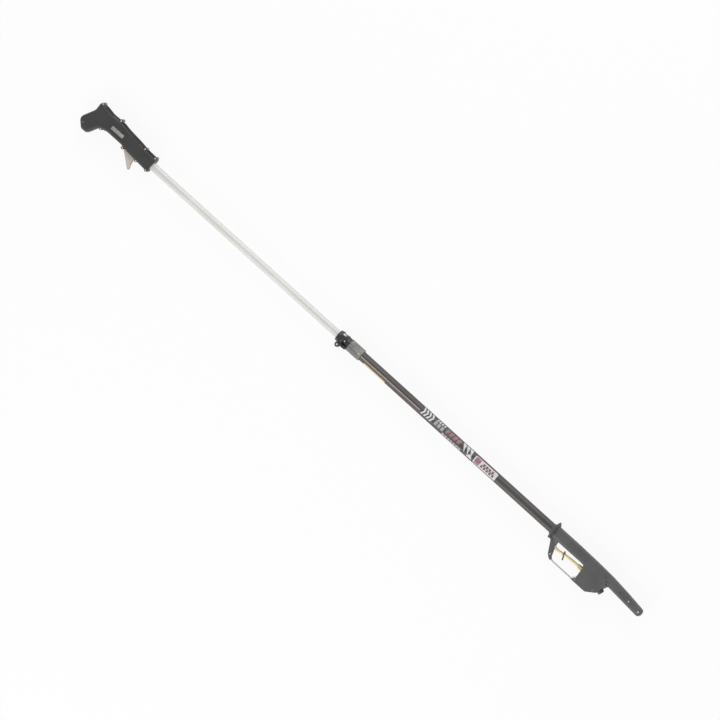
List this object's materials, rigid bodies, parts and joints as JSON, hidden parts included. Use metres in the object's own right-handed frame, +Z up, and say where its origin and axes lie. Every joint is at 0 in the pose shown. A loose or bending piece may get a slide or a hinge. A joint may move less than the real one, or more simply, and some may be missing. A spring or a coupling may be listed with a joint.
{
  "type": "electric pole pruner",
  "caption": "Telescopic pole of a battery pruning shear: grip with trigger, inner and outer tube, quick-release clamp, and a head with guard bow, outlet and flat carrying arm.",
  "frame": {"origin": "middle of the bounding box at its bottom, under the pole as it lies on its side", "axes": "+X along the pole from the grip to the head, +Y across it, away from the grip's handle and the head's belly, +Z up, out of the side that the picture shows"},
  "size_m": [2.2458, 0.1206, 0.059],
  "materials": {
    "graphite_moulding": "satin near-black moulding",
    "head_moulding": "matte dark grey moulding",
    "bow_moulding": "matte grey moulding",
    "bright_aluminium": "bright drawn tube",
    "dark_anodised_aluminium": "dark anodised tube",
    "clamp_black": "black moulding with a light sheen",
    "sleeve_grey": "grey ribbed moulding",
    "trigger_grey": "light warm grey moulding",
    "plate_grey": "blank light grey plate",
    "zinc_plated_steel": "zinc plated",
    "spring_steel": "spring wire",
    "switch_black": "black moulding",
    "plunger_white": "white moulding",
    "bush_white": "natural white slide bush",
    "yellow_lead": "yellow cable jacket",
    "boot_yellow_green": "yellow-green soft boot",
    "tie_black": "black strap"
  },
  "bodies": {
    "pole": {"outer_tube": "dark_anodised_aluminium", "clamp_sleeve": "sleeve_grey", "clamp_collar": "clamp_black", "draw_bolt": "zinc_plated_steel", "draw_nut": "zinc_plated_steel", "cam_pin": "zinc_plated_steel", "collar_screw": "zinc_plated_steel", "sleeve_screw": "zinc_plated_steel", "head_shell_near": "head_moulding", "head_shell_far": "head_moulding", "head_screw_1": "zinc_plated_steel", "head_screw_2": "zinc_plated_steel", "head_screw_3": "zinc_plated_steel", "head_screw_4": "zinc_plated_steel", "head_screw_5": "zinc_plated_steel", "head_screw_6": "zinc_plated_steel", "head_screw_7": "zinc_plated_steel", "head_screw_8": "zinc_plated_steel", "guard_bow": "bow_moulding", "guard_flange": "head_moulding", "lead_head": "yellow_lead", "lead_boot": "boot_yellow_green", "cable_tie": "tie_black", "outlet_nut": "head_moulding", "outlet_socket": "switch_black", "lead_coil": "yellow_lead"},
    "handle": {"handle_shell_near": "graphite_moulding", "handle_shell_far": "graphite_moulding", "handle_screw_1": "zinc_plated_steel", "handle_screw_2": "zinc_plated_steel", "handle_screw_3": "zinc_plated_steel", "handle_screw_4": "zinc_plated_steel", "handle_screw_5": "zinc_plated_steel", "handle_screw_6": "zinc_plated_steel", "handle_screw_7": "zinc_plated_steel", "handle_screw_8": "zinc_plated_steel", "handle_screw_9": "zinc_plated_steel", "handle_label_plate": "plate_grey", "inner_tube": "bright_aluminium", "tube_bush": "bush_white", "trigger_pin": "zinc_plated_steel", "trigger_spring": "spring_steel", "switch_body": "switch_black", "lead_handle": "yellow_lead"},
    "trigger": {"trigger": "trigger_grey"},
    "plunger": {"switch_plunger": "plunger_white"},
    "lever": {"cam_lever": "clamp_black"}
  },
  "joints": [
    {"name": "tube_slide", "type": "slide", "parent": "pole", "child": "handle", "axis": [1, 0, 0], "range_m": [0, 0.66], "deforming": ["lead_coil"]},
    {"name": "trigger_pull", "type": "hinge", "parent": "handle", "child": "trigger", "pos_m": [-0.92735, 0.00465, 0.0295], "axis": [0, 0, -1], "range_deg": [0, 18], "stiffness_Nm_per_rad": 0.35, "springref_deg": -20.05, "deforming": ["trigger_spring"]},
    {"name": "plunger_press", "type": "slide", "parent": "handle", "child": "plunger", "axis": [0, 1, 0], "range_m": [0, 0.0036]},
    {"name": "lever_swing", "type": "hinge", "parent": "pole", "child": "lever", "pos_m": [-0.09085, -0.00585, 0.0495], "axis": [0, 0, -1], "range_deg": [0, 120]}
  ],
  "couplings": [
    {"joint": "plunger_press", "follows": "trigger_pull", "m_per_rad": 0.0112}
  ]
}
